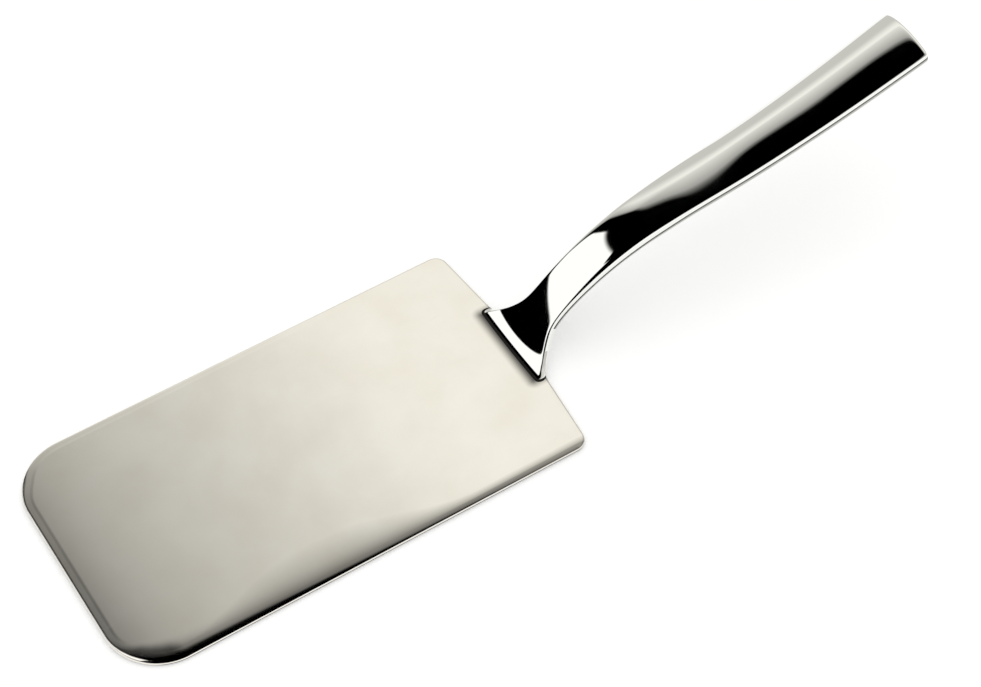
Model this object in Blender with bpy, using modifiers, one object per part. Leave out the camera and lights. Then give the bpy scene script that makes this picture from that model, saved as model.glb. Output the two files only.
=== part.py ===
"""Pizza server with a flat blade, a welded neck and a hollow two-shell handle.

Metres, +Z up. The origin is the middle of the blade's flat underside, the blade's tip
points to -X and the handle to +X, and the server is the same on its +Y and -Y sides.
"""

import math

import bmesh
import bpy
import numpy as np

# Blade: a plate ground thinner along its tip and long sides
BLADE_LENGTH = 0.1386
BLADE_WIDTH = 0.076
BLADE_THICKNESS = 0.0020
EDGE_THICKNESS = 0.0011
TIP_CORNER_RADIUS = 0.0161
HEEL_CORNER_RADIUS = 0.0035
HEEL_SWEEP = 0.0034
TIP_GRIND_WIDTH = 0.0030
SIDE_GRIND_WIDTH = 0.0022
HEEL_GRIND_WIDTH = 0.0009

# Foot: where the neck stands on the blade's heel
FOOT_OVERLAP = 0.0050
FOOT_LENGTH = 0.0053
FOOT_WIDTH = 0.0254
FOOT_EDGE_HEIGHT = 0.0036
FOOT_CROWN_RISE = 0.0013
FOOT_CORNER_RADIUS = 0.0013
FOOT_FILLET = 0.0008
FOOT_BLEND_LENGTH = 0.0150
HEEL_FLARE = 0.0086
FLARE_DECAY = 0.0029

# Neck: narrowest section of the forging
NECK_WIDTH = 0.0121
NECK_EDGE_HEIGHT = 0.0048
NECK_CROWN_RISE = 0.0022
NECK_CORNER_RADIUS = 0.0023
NECK_REACH = 0.0454

# Handle: rounded-D section at its end
HANDLE_REACH = 0.1255
HANDLE_RISE = 0.0506
HANDLE_WIDTH = 0.0187
HANDLE_EDGE_HEIGHT = 0.0043
HANDLE_CROWN_RISE = 0.0026
HANDLE_CORNER_RADIUS = 0.0011
SHELL_THICKNESS = 0.0009

# Tang: the flat bar of the forging inside the handle
TANG_LENGTH = 0.0350
TANG_WIDTH = 0.0085
TANG_THICKNESS = 0.0032
TANG_CROWN_RISE = 0.0003
TANG_CORNER_RADIUS = 0.0006

# End cap: rounded plate with a spigot inside the shells
CAP_THICKNESS = 0.0030
CAP_ROUNDING = 0.0022
SPIGOT_LENGTH = 0.0025
SPIGOT_CORNER_RADIUS = 0.0003

# Clearance between neighbours that are welded on the real server
JOINT_GAP = 0.0003

# Side view of the handle's middle line, as shares of its reach and rise from the heel
REACH_SHARES = (0.0, 0.0401, 0.0859, 0.1427, 0.2205, 0.3581, 0.5614, 0.7767, 1.0)
RISE_SHARES = (0.0775, 0.1820, 0.2900, 0.3950, 0.5000, 0.6020, 0.6980, 0.8300, 1.0)
# Stretch of the neck, as shares of the reach, in which its section turns into the handle's
BLEND_START_SHARE = 0.12
BLEND_END_SHARE = 0.50
# Where the neck is narrowest, and how its width grows from there
NARROWEST_SHARE = 0.06
WIDENING_POWER = 0.9

# Faces along each stretch of a section and along each piece
CROWN_STEPS = 10
CORNER_STEPS = 4
BASE_STEPS = 4
NECK_STATIONS = 16
SHELL_STATIONS = 16
TANG_STATIONS = 6
CAP_RIM_STEPS = 4
TIP_CORNER_STEPS = 12
HEEL_CORNER_STEPS = 5

HEEL_X = BLADE_LENGTH / 2
FOOT_X = HEEL_X - FOOT_OVERLAP


def remove_all_objects():
    for obj in list(bpy.data.objects):
        bpy.data.objects.remove(obj, do_unlink=True)


def new_collection(name):
    collection = bpy.data.collections.new(name)
    bpy.context.scene.collection.children.link(collection)
    return collection


def new_material(name, colour, roughness):
    """Bare steel: a metal whose base colour tints what it reflects."""
    material = bpy.data.materials.new(name)
    material.use_nodes = True
    shader = material.node_tree.nodes["Principled BSDF"]
    shader.inputs["Base Color"].default_value = (*colour, 1.0)
    shader.inputs["Metallic"].default_value = 1.0
    shader.inputs["Roughness"].default_value = roughness
    return material


def new_object(name, mesh, collection, material=None):
    obj = bpy.data.objects.new(name, mesh)
    collection.objects.link(obj)
    if material is not None:
        mesh.materials.append(material)
    return obj


def blend(value, start, end):
    """0 below start, 1 above end and a smooth ramp between them."""
    share = min(max((value - start) / (end - start), 0.0), 1.0)
    return share * share * (3 - 2 * share)


def between(first, last, share):
    return first + (last - first) * share


class SideLine:
    """Smooth line in the XZ plane through the handle's named points."""

    def __init__(self):
        self.x = HEEL_X + HANDLE_REACH * np.array(REACH_SHARES)
        self.z = HANDLE_RISE * np.array(RISE_SHARES)
        self.bends = self._bends()

    def _bends(self):
        """Second derivatives of the natural cubic spline z(x)."""
        step = np.diff(self.x)
        count = len(self.x)
        matrix = np.eye(count)
        right = np.zeros(count)
        slopes = np.diff(self.z) / step
        for i in range(1, count - 1):
            matrix[i, i - 1:i + 2] = (step[i - 1], 2 * (step[i - 1] + step[i]), step[i])
            right[i] = 6 * (slopes[i] - slopes[i - 1])
        return np.linalg.solve(matrix, right)

    def _place(self, x):
        i = int(np.clip(np.searchsorted(self.x, x) - 1, 0, len(self.x) - 2))
        step = self.x[i + 1] - self.x[i]
        back = (self.x[i + 1] - x) / step
        on = (x - self.x[i]) / step
        return i, step, back, on

    def height(self, x):
        i, step, back, on = self._place(x)
        curved = (back**3 - back) * self.bends[i] + (on**3 - on) * self.bends[i + 1]
        return back * self.z[i] + on * self.z[i + 1] + curved * step**2 / 6

    def slope(self, x):
        """Angle of the line above the table, in radians."""
        i, step, back, on = self._place(x)
        rise = (self.z[i + 1] - self.z[i]) / step
        curved = (3 * on**2 - 1) * self.bends[i + 1] - (3 * back**2 - 1) * self.bends[i]
        return math.atan(rise + curved * step / 6)


def width_at(x):
    """Width of the neck and handle at a distance x from the origin."""
    narrowest = HEEL_X + HANDLE_REACH * NARROWEST_SHARE
    growth = max((x - narrowest) / (HEEL_X + HANDLE_REACH - narrowest), 0.0)
    width = between(NECK_WIDTH, HANDLE_WIDTH, growth**WIDENING_POWER)
    return width + HEEL_FLARE * math.exp(-(x - HEEL_X) / FLARE_DECAY)


def section_sizes(x):
    """Width, edge height, crown rise and corner radius of the section at x."""
    foot = blend(x, FOOT_X, FOOT_X + FOOT_BLEND_LENGTH)
    grip_start = HEEL_X + HANDLE_REACH * BLEND_START_SHARE
    grip = blend(x, grip_start, HEEL_X + HANDLE_REACH * BLEND_END_SHARE)
    sizes = []
    for at_foot, at_neck, at_grip in (
        (FOOT_EDGE_HEIGHT, NECK_EDGE_HEIGHT, HANDLE_EDGE_HEIGHT),
        (FOOT_CROWN_RISE, NECK_CROWN_RISE, HANDLE_CROWN_RISE),
        (FOOT_CORNER_RADIUS, NECK_CORNER_RADIUS, HANDLE_CORNER_RADIUS),
    ):
        sizes.append(between(between(at_foot, at_neck, foot), at_grip, grip))
    return (width_at(x), *sizes)


def top_outline(width, edge_height, crown_rise, corner):
    """Upper half of the section, from its -Y side over the crown to its +Y side."""
    reach = width / 2 - corner
    crown_radius = (reach**2 + crown_rise**2) / (2 * crown_rise)
    lean = math.asin(reach / crown_radius)
    base = edge_height / 2 - corner
    points = []
    for step in range(CORNER_STEPS):
        angle = between(math.pi / 2, lean, step / CORNER_STEPS)
        points.append((-reach - corner * math.sin(angle), base + corner * math.cos(angle)))
    for step in range(CROWN_STEPS + 1):
        angle = between(-lean, lean, step / CROWN_STEPS)
        height = base + crown_rise - crown_radius + (crown_radius + corner) * math.cos(angle)
        points.append(((crown_radius + corner) * math.sin(angle), height))
    points.extend((-y, n) for y, n in reversed(points[:CORNER_STEPS]))
    return points


def base_outline(width, edge_height, corner):
    """Lower half of the section, from its +Y side under the base to its -Y side."""
    reach = width / 2 - corner
    base = -edge_height / 2 + corner
    points = []
    for step in range(CORNER_STEPS + 1):
        angle = between(math.pi / 2, math.pi, step / CORNER_STEPS)
        points.append((reach + corner * math.sin(angle), base + corner * math.cos(angle)))
    for step in range(1, BASE_STEPS):
        points.append((between(reach, -reach, step / BASE_STEPS), -edge_height / 2))
    points.extend((-y, n) for y, n in reversed(points[:CORNER_STEPS + 1]))
    return points


def whole_outline(width, edge_height, crown_rise, corner):
    top = top_outline(width, edge_height, crown_rise, corner)
    return top + base_outline(width, edge_height, corner)


def placed(outline, x, z, tilt):
    """Stands a section outline across a line that rises at the angle tilt."""
    return [(x - n * math.sin(tilt), y, z + n * math.cos(tilt)) for y, n in outline]


def loft(rings, closed):
    """Skins rings of equally many points; closed rings also get end faces.

    An open sheet's faces point to the left of its points, seen along the rings.
    """
    mesh = bpy.data.meshes.new("loft")
    bm = bmesh.new()
    rows = [[bm.verts.new(point) for point in ring] for ring in rings]
    count = len(rows[0])
    for low, high in zip(rows, rows[1:]):
        for i in range(count if closed else count - 1):
            j = (i + 1) % count
            bm.faces.new((low[i], high[i], high[j], low[j]))
    if closed:
        bm.faces.new(rows[0])
        bm.faces.new(rows[-1])
        bmesh.ops.recalc_face_normals(bm, faces=bm.faces)
    bm.to_mesh(mesh)
    bm.free()
    return mesh


def shade_smooth(mesh):
    mesh.shade_smooth()
    mesh.set_sharp_from_angle(angle=math.radians(40))


def spread(first, last, count):
    return [between(first, last, i / (count - 1)) for i in range(count)]


def blade_ring(side_inset, tip_inset, heel_inset, z):
    """Outline of the blade, drawn in from its sides, tip and heel corners."""
    half_tip = BLADE_WIDTH / 2 - side_inset
    half_heel = BLADE_WIDTH / 2 - heel_inset
    tip = -BLADE_LENGTH / 2 + tip_inset
    tip_radius = TIP_CORNER_RADIUS - tip_inset
    heel_corner = HEEL_X - HEEL_SWEEP
    heel_radius = HEEL_CORNER_RADIUS - heel_inset
    half = [(HEEL_X, 0.0)]
    for step in range(HEEL_CORNER_STEPS + 1):
        angle = between(0.0, math.pi / 2, step / HEEL_CORNER_STEPS)
        across = half_heel - heel_radius * (1 - math.sin(angle))
        half.append((heel_corner - heel_radius * (1 - math.cos(angle)), across))
    for step in range(TIP_CORNER_STEPS + 1):
        angle = between(0.0, math.pi / 2, step / TIP_CORNER_STEPS)
        across = half_tip - tip_radius * (1 - math.cos(angle))
        half.append((tip + tip_radius * (1 - math.sin(angle)), across))
    other = [(x, -y) for x, y in reversed(half[1:])]
    return [(x, y, z) for x, y in half + other]


def make_blade(collection, material):
    """Plate in three rings: underside, thin ground edge and full thickness inside it."""
    rings = [
        blade_ring(0.0, 0.0, 0.0, 0.0),
        blade_ring(0.0, 0.0, 0.0, EDGE_THICKNESS),
        blade_ring(SIDE_GRIND_WIDTH, TIP_GRIND_WIDTH, HEEL_GRIND_WIDTH, BLADE_THICKNESS),
    ]
    mesh = loft(rings, closed=True)
    shade_smooth(mesh)
    return new_object("blade", mesh, collection, material)


def foot_ring(fillet, lift):
    """Level ring above the blade, wider at its front and sides by the fillet."""
    edge = FOOT_LENGTH + fillet - FOOT_CROWN_RISE
    outline = whole_outline(FOOT_WIDTH + 2 * fillet, edge, FOOT_CROWN_RISE, FOOT_CORNER_RADIUS)
    middle = FOOT_X - fillet + FOOT_CROWN_RISE + edge / 2
    return placed(outline, middle, BLADE_THICKNESS + JOINT_GAP + lift, math.pi / 2)


def section_ring(line, x):
    return placed(whole_outline(*section_sizes(x)), x, line.height(x), line.slope(x))


def tang_ring(line, x):
    """Section of the tang, which lies on the floor of the lower shell."""
    edge_height = TANG_THICKNESS - TANG_CROWN_RISE
    outline = whole_outline(TANG_WIDTH, edge_height, TANG_CROWN_RISE, TANG_CORNER_RADIUS)
    floor = -section_sizes(x)[1] / 2 + SHELL_THICKNESS + JOINT_GAP
    lifted = [(y, n + floor + edge_height / 2) for y, n in outline]
    return placed(lifted, x, line.height(x), line.slope(x))


def make_neck(line, collection, material):
    """Forging from its foot on the blade to the end of the tang inside the handle."""
    shoulder = HEEL_X + NECK_REACH
    rings = [foot_ring(FOOT_FILLET, 0.0), foot_ring(0.0, FOOT_FILLET)]
    rings += [section_ring(line, x) for x in spread(HEEL_X, shoulder, NECK_STATIONS)]
    rings += [tang_ring(line, x) for x in spread(shoulder, shoulder + TANG_LENGTH, TANG_STATIONS)]
    mesh = loft(rings, closed=True)
    shade_smooth(mesh)
    return new_object("neck", mesh, collection, material)


def shell_ends():
    first = HEEL_X + NECK_REACH + JOINT_GAP
    last = HEEL_X + HANDLE_REACH - CAP_THICKNESS - JOINT_GAP
    return first, last


def make_shell(name, outline_at, line, collection, material):
    """Open pressed sheet along the handle, thickened inwards to its wall."""
    rings = [
        placed(outline_at(x), x, line.height(x), line.slope(x))
        for x in spread(*shell_ends(), SHELL_STATIONS)
    ]
    mesh = loft(rings, closed=False)
    shade_smooth(mesh)
    obj = new_object(name, mesh, collection, material)
    wall = obj.modifiers.new("wall", "SOLIDIFY")
    wall.thickness = SHELL_THICKNESS
    wall.offset = -1
    return obj


def top_shell_outline(x):
    """Crown and upper sides, down to half the seam's gap above mid-height."""
    width, edge_height, crown_rise, corner = section_sizes(x)
    points = top_outline(width, edge_height, crown_rise, corner)
    lip = JOINT_GAP / 2
    return [(-width / 2, lip)] + points + [(width / 2, lip)]


def bottom_shell_outline(x):
    """Base and lower sides, up to half the seam's gap below mid-height."""
    width, edge_height, _, corner = section_sizes(x)
    points = base_outline(width, edge_height, corner)
    lip = -JOINT_GAP / 2
    return [(width / 2, lip)] + points + [(-width / 2, lip)]


def plug_outline(width, edge_height, crown_rise):
    """Section that fits inside the shells with the joint's gap all round."""
    inset = SHELL_THICKNESS + JOINT_GAP
    narrower = 1 - 2 * inset / width
    corner = SPIGOT_CORNER_RADIUS
    return whole_outline(width - 2 * inset, edge_height - 2 * inset, crown_rise * narrower**2, corner)


def drawn_in(outline, inset, width):
    """Outline shrunk towards its middle, for the rings of a rounded rim."""
    lowest = min(n for _, n in outline)
    highest = max(n for _, n in outline)
    middle = (lowest + highest) / 2
    across = 1 - 2 * inset / width
    along = 1 - 2 * inset / (highest - lowest)
    return [(y * across, middle + (n - middle) * along) for y, n in outline]


def make_end_cap(line, collection, material):
    """Plate with a rounded rim outside and a spigot that plugs the shells."""
    back = HEEL_X + HANDLE_REACH - CAP_THICKNESS
    width, edge_height, crown_rise, corner = section_sizes(back)
    outline = whole_outline(width, edge_height, crown_rise, corner)
    spigot = plug_outline(width, edge_height, crown_rise)
    tilt = line.slope(back)
    rings = [(spigot, -SPIGOT_LENGTH), (spigot, 0.0), (outline, 0.0)]
    for step in range(CAP_RIM_STEPS + 1):
        angle = between(0.0, math.pi / 2, step / CAP_RIM_STEPS)
        inset = CAP_ROUNDING * (1 - math.cos(angle))
        ahead = CAP_THICKNESS - CAP_ROUNDING * (1 - math.sin(angle))
        rings.append((drawn_in(outline, inset, width), ahead))
    height = line.height(back)
    placed_rings = []
    for ring, ahead in rings:
        x = back + ahead * math.cos(tilt)
        placed_rings.append(placed(ring, x, height + ahead * math.sin(tilt), tilt))
    mesh = loft(placed_rings, closed=True)
    shade_smooth(mesh)
    return new_object("end_cap", mesh, collection, material)


def build():
    remove_all_objects()
    server = new_collection("pizza_server")
    satin = new_material("fine_ground_steel", (0.72, 0.71, 0.67), 0.16)
    bright = new_material("mirror_polished_steel", (0.78, 0.77, 0.74), 0.05)
    line = SideLine()
    make_blade(server, satin)
    make_neck(line, server, bright)
    make_shell("handle_top", top_shell_outline, line, server, bright)
    make_shell("handle_bottom", bottom_shell_outline, line, server, bright)
    make_end_cap(line, server, bright)


build()
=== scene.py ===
# %% [markdown]
# # A pizza server of polished stainless steel
#
# The server is a broad, flat blade with a steep neck and a hollow handle. All of it is bare
# steel, so there is no paint or grain to model: what the eye reads is the shape of each
# reflection. A mirror shows every kink of its surface. The lesson is therefore about three
# things: smooth surfaces, crisp edges, and a room that is worth reflecting.
#
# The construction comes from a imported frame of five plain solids. The first step loads it and
# keeps its box, because the dressed model may not outgrow it.

# %% Load the frame
import math

import bmesh
import bpy
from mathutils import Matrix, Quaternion, Vector


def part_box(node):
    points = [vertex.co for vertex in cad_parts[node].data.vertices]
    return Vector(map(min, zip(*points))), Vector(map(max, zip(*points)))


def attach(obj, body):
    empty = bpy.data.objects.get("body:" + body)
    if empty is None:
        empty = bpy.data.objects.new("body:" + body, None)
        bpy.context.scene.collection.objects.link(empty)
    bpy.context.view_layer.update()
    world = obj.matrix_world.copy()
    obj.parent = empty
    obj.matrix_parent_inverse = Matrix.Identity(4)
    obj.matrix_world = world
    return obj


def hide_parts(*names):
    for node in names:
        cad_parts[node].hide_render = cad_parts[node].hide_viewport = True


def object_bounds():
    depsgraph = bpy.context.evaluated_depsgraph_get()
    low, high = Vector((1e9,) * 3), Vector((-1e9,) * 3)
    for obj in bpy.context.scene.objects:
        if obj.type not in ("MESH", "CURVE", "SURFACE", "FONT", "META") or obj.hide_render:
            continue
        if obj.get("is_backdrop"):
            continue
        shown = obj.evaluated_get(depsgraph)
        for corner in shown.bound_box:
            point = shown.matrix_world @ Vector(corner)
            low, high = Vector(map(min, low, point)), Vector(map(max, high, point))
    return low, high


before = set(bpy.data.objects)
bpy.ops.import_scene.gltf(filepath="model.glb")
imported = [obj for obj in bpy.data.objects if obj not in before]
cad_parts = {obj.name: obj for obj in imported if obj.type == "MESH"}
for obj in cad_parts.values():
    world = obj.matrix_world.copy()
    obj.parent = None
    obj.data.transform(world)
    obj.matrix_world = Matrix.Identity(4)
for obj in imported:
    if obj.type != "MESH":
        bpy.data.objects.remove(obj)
cad_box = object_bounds()
MM = 0.001
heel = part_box("blade")[1].x
print("frame of", len(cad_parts), "nodes, heel at", round(heel / MM, 1), "mm from the blade's middle")

# %% [markdown]
# ## Small helpers
#
# Operators act on whatever is selected, so each piece starts from an empty selection. In edit
# mode, vertices are picked by where they are, as one would with a box select.


# %% Selection helpers
def select_only(*objects):
    """Selects these objects and makes the first one active."""
    bpy.ops.object.select_all(action="DESELECT")
    for obj in objects:
        obj.select_set(True)
    if objects:
        bpy.context.view_layer.objects.active = objects[0]


def pick_vertices(obj, wanted):
    """Selects the vertices in edit mode for which wanted(position) is true."""
    bpy.ops.mesh.select_mode(type="VERT")
    bpy.ops.mesh.select_all(action="DESELECT")
    edit = bmesh.from_edit_mesh(obj.data)
    for vert in edit.verts:
        vert.select_set(wanted(vert.co))
    edit.select_flush(True)
    bmesh.update_edit_mesh(obj.data)


def apply_modifier(obj, kind, **settings):
    """Adds a modifier with its settings and applies it to the mesh."""
    select_only(obj)
    modifier = obj.modifiers.new(kind.title(), kind)
    for name, value in settings.items():
        setattr(modifier, name, value)
    bpy.ops.object.modifier_apply(modifier=modifier.name)


def between(first, last, share):
    return first + (last - first) * share


def ease(value, start, end):
    """0 below start, 1 above end and a smooth ramp between them."""
    share = min(max((value - start) / (end - start), 0.0), 1.0)
    return share * share * (3 - 2 * share)


print("helpers ready")

# %% [markdown]
# ## The blade
#
# The real blade is stamped from 2 mm sheet, and its rim is ground down on top so that it slides
# under a slice. One could model it as a box with a Bevel modifier, but the grinding isn't even:
# it is narrow at the heel and broad at the tip.
#
# So the blade starts as a flat plane on the table, its underside, and its corners are rounded
# by a vertex bevel. Side, rim and flat are drawn out of that plane afterwards.

# %% Blade outline
blade_low, blade_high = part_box("blade")
BLADE_THICKNESS = blade_high.z
TIP_CORNER = 16.1 * MM
HEEL_CORNER = 3.5 * MM
HEEL_SWEEP = 3.4 * MM
TIP_SEGMENTS = 40
HEEL_SEGMENTS = 12

select_only()
bpy.ops.mesh.primitive_plane_add(size=1, location=(0, 0, 0))
blade = bpy.context.object
blade.name = "blade_plate"
blade.scale = (blade_high.x - blade_low.x - HEEL_SWEEP, blade_high.y - blade_low.y, 1)
blade.location.x = (blade_low.x + blade_high.x - HEEL_SWEEP) / 2
bpy.ops.object.transform_apply(location=True, rotation=False, scale=True)
heel_side = blade_high.x - HEEL_SWEEP

bpy.ops.object.mode_set(mode="EDIT")
pick_vertices(blade, lambda co: co.x < 0)
bpy.ops.mesh.bevel(offset=TIP_CORNER, segments=TIP_SEGMENTS, affect="VERTICES", profile=0.5)
pick_vertices(blade, lambda co: co.x > heel_side - MM)
bpy.ops.mesh.subdivide(number_cuts=1)
pick_vertices(blade, lambda co: co.x > heel_side - MM and abs(co.y) < MM)
bpy.ops.transform.translate(value=(HEEL_SWEEP, 0, 0))
pick_vertices(blade, lambda co: co.x > heel_side - MM and abs(co.y) > MM)
bpy.ops.mesh.bevel(offset=HEEL_CORNER, segments=HEEL_SEGMENTS, affect="VERTICES", profile=0.5)
bpy.ops.object.mode_set(mode="OBJECT")
print("blade outline:", len(blade.data.vertices), "points")

# %% [markdown]
# The rim is drawn inwards ring by ring: the face is extruded in place, and each of its points
# is then moved along its own inward direction. Unlike an inset, this lets the rim have another
# shape at every place, as hand grinding has. Three zones follow each other from the outside:
# a tight rounding, a shallow ground facet, and the flat. The facet is flat and crisp at the tip
# and along the far side, and rolls off softly along the near side.

# %% Inward directions of the outline
# a sharp corner would throw its point far inwards, so this share limits it
CORNER_LIMIT = 0.5
select_only(blade)
bpy.ops.object.mode_set(mode="EDIT")
bpy.ops.mesh.select_mode(type="FACE")
bpy.ops.mesh.select_all(action="SELECT")
edit = bmesh.from_edit_mesh(blade.data)
edge_points = [vert.co.copy() for vert in edit.faces[:][0].verts]
inward = []
for i, point in enumerate(edge_points):
    before, after = edge_points[i - 1], edge_points[(i + 1) % len(edge_points)]
    first_side, next_side = (point - before).normalized(), (after - point).normalized()
    square = Vector((0, 0, 1)).cross(first_side + next_side).normalized()
    inward.append(square / max(square.dot(Vector((0, 0, 1)).cross(first_side)), CORNER_LIMIT))
print("outline directions:", len(inward))

# %% [markdown]
# All sizes of the rim are in millimetres and given for four places: the near and the far side,
# each at its heel and at its tip end. Points between them take a blend. The tip's own edge has
# sizes of its own. The facet changes over to them early in the corner and the rounding late, so
# that the wide near facet doesn't run into itself there.

# %% Rim sizes
# near heel, near tip, far heel, far tip
ROUNDING_WIDTH = (1.1, 2.6, 0.5, 0.4)
ROUNDING_DROP = (0.72, 1.05, 0.45, 0.40)
FACET_WIDTH = (2.2, 4.4, 1.2, 1.8)
FACET_DROP = (0.12, 0.16, 0.01, 0.03)
# width and drop along the tip's own edge
TIP_ROUNDING = (0.35, 0.35)
TIP_FACET = (2.3, 0.016)
# the inward direction's share towards the heel where the change-over starts and ends
FACET_TURN = (0.30, 1.0)
ROUNDING_TURN = (0.78, 1.0)
# its share across the blade from which a point counts as all near or all far
SIDE_TURN = 0.8


def place_of(i):
    """How near (1) or far (0) and how tipward a point lies, and how far its rim has changed over."""
    point, turn = edge_points[i], inward[i].normalized()
    near = 0.5 + 0.5 * max(min(turn.y / SIDE_TURN, 1.0), -1.0)
    tipward = (blade_high.x - point.x) / (blade_high.x - blade_low.x)
    tip_turn = turn.x if point.x < 0 else 0.0
    return near, tipward, ease(tip_turn, *FACET_TURN), ease(tip_turn, *ROUNDING_TURN)


def rim_size(sizes, tip_size, place, late=False):
    """A size at a place; late is for the rounding, which changes over late."""
    near_side = between(sizes[0], sizes[1], place[1])
    far_side = between(sizes[2], sizes[3], place[1])
    return between(between(far_side, near_side, place[0]), tip_size, place[3 if late else 2])


middle_width = rim_size(FACET_WIDTH, 0, (1, 0.5, 0, 0))
print("facet at the middle of the near side:", round(middle_width, 2), "mm")

# %% Shape of the rim
ROUNDING_STEPS = 6
FACET_STEPS = 6
# how near a place is where the soft roll begins and where it is all there
SOFT_NEAR = (0.5, 0.8)
SOFT_POWER = 2.4
# a crisp facet starts with a short, steeper step: its share of the width and of the drop
STEP_WIDTH_SHARE, STEP_DROP_SHARE = 0.18, 0.30


def soft_or_crisp(share, place):
    """Drop of the facet from the flat (share 0) outwards (share 1): a soft roll or a flat slope."""
    crisp = STEP_DROP_SHARE * min(share / STEP_WIDTH_SHARE, 1.0) + (1 - STEP_DROP_SHARE) * share
    return between(crisp, share**SOFT_POWER, ease(place[0], *SOFT_NEAR))


def rim_point(i, zone, share):
    """Distance inwards and height in mm of one point of the rim."""
    place = place_of(i)
    round_width = rim_size(ROUNDING_WIDTH, TIP_ROUNDING[0], place, late=True)
    round_drop = rim_size(ROUNDING_DROP, TIP_ROUNDING[1], place, late=True)
    facet_width = rim_size(FACET_WIDTH, TIP_FACET[0], place)
    facet_drop = rim_size(FACET_DROP, TIP_FACET[1], place)
    top = BLADE_THICKNESS / MM
    if zone == "rounding":
        turn = math.pi / 2 * share
        return round_width * (1 - math.cos(turn)), top - facet_drop - round_drop * (1 - math.sin(turn))
    return round_width + facet_width * share, top - facet_drop * soft_or_crisp(1 - share, place)


print("rounding starts %.2f mm above the table" % rim_point(0, "rounding", 0)[1])

# %% Ground rim
FLAT_MARGIN = 0.35


def key_of(point):
    """What a vertex is known by after an extrusion: its place."""
    return tuple(round(c, 8) for c in point)


def press_rim(width_of, height_of):
    """Extrudes the top face in place and moves its points to their new ring."""
    bpy.ops.mesh.extrude_region_move()
    edit = bmesh.from_edit_mesh(blade.data)
    last_ring = dict(place_index)
    place_index.clear()
    for vert in edit.verts:
        if vert.select:
            i = last_ring[key_of(vert.co)]
            moved = edge_points[i] + inward[i] * width_of(i) * MM
            vert.co = (moved.x, moved.y, height_of(i) * MM)
            place_index[key_of(vert.co)] = i
    bmesh.update_edit_mesh(blade.data)


place_index = {key_of(point): i for i, point in enumerate(edge_points)}
steps = [("rounding", step / ROUNDING_STEPS) for step in range(ROUNDING_STEPS + 1)]
steps += [("facet", step / FACET_STEPS) for step in range(1, FACET_STEPS + 1)]
for zone, share in steps:
    press_rim(lambda i: rim_point(i, zone, share)[0], lambda i: rim_point(i, zone, share)[1])
press_rim(lambda i: rim_point(i, "facet", 1)[0] + FLAT_MARGIN, lambda i: BLADE_THICKNESS / MM)
bpy.ops.object.mode_set(mode="OBJECT")
print("rim ground in", len(steps), "steps,", len(blade.data.polygons), "faces")

# %% [markdown]
# Extruding a lone face leaves the old one behind, so the underside is already closed. Sheet
# steel never has a knife edge where it isn't sharpened: a small bevel breaks the lower corner.

# %% Underside
EDGE_ROUNDING = 0.5 * MM

select_only(blade)
bpy.ops.object.mode_set(mode="EDIT")
bpy.ops.mesh.select_all(action="SELECT")
bpy.ops.mesh.normals_make_consistent(inside=False)
bpy.ops.object.mode_set(mode="OBJECT")
apply_modifier(
    blade, "BEVEL", width=EDGE_ROUNDING, segments=4, limit_method="ANGLE", angle_limit=math.radians(60)
)
bpy.ops.object.shade_smooth_by_angle(angle=math.radians(40))
print("blade closed:", len(blade.data.polygons), "faces")

# %% [markdown]
# ## Neck and handle as one skin
#
# The neck is forged and the handle is two pressed shells, but they are ground and buffed
# together, and the light runs over the joints without a break. If each piece were modelled on
# its own, the reflections would step where they meet.
#
# So the whole outer skin is lofted first, smoothed as one surface, and cut into its pieces
# last. Each ring of the loft is a section: flat underneath, with rounded corners, upright
# sides and a crowned top.


# %% Section outline
CROWN_STEPS = 12
CORNER_STEPS = 4
BASE_STEPS = 8
# the parting line: its height from the middle line, half its width, and its support rows
SEAM_AT = -0.20
SEAM_HALF = 0.36
SEAM_SUPPORT = 0.08
# how far the lower half stands in, at its corners and next to the line
LOWER_LEAN = 0.10
LOWER_SET_IN = 0.01


def top_points(width, top, crown, corner):
    """Points in mm from the seam on the -Y side over the crown to the seam on the +Y side."""
    reach = width / 2 - corner
    radius = (reach**2 + crown**2) / (2 * crown)
    lean = math.asin(reach / radius)
    base = top - corner
    half = [(-width / 2, SEAM_AT + SEAM_HALF), (-width / 2, SEAM_AT + SEAM_HALF + SEAM_SUPPORT)]
    for step in range(CORNER_STEPS):
        angle = between(math.pi / 2, lean, step / CORNER_STEPS)
        half.append((-reach - corner * math.sin(angle), base + corner * math.cos(angle)))
    middle = []
    for step in range(CROWN_STEPS + 1):
        angle = between(-lean, lean, step / CROWN_STEPS)
        height = base + crown - radius + (radius + corner) * math.cos(angle)
        middle.append(((radius + corner) * math.sin(angle), height))
    return half + middle + [(-y, n) for y, n in reversed(half)]


def base_points(width, bottom, corner):
    """Points in mm from the seam on the +Y side under the base to the seam on the -Y side."""
    reach = width / 2 - LOWER_LEAN - corner
    base = bottom + corner
    start = SEAM_AT - SEAM_HALF
    half = [(width / 2, start), (width / 2 - LOWER_SET_IN, start - SEAM_SUPPORT)]
    for step in range(CORNER_STEPS + 1):
        angle = between(math.pi / 2, math.pi, step / CORNER_STEPS)
        half.append((reach + corner * math.sin(angle), base + corner * math.cos(angle)))
    middle = [(between(reach, -reach, step / BASE_STEPS), bottom) for step in range(1, BASE_STEPS)]
    return half + middle + [(-y, n) for y, n in reversed(half)]


def section_points(width, top, crown, corner, bottom, base_corner):
    """The whole closed outline of one section."""
    return top_points(width, top, crown, corner) + base_points(width, bottom, base_corner)


def ring_points(x, z, tilt, outline):
    """Stands an outline across the handle: x and z in mm from the heel, tilt in radians."""
    points = []
    for y, n in outline:
        points.append(Vector((heel + (x - n * math.sin(tilt)) * MM, y * MM, (z + n * math.cos(tilt)) * MM)))
    return points


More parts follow.
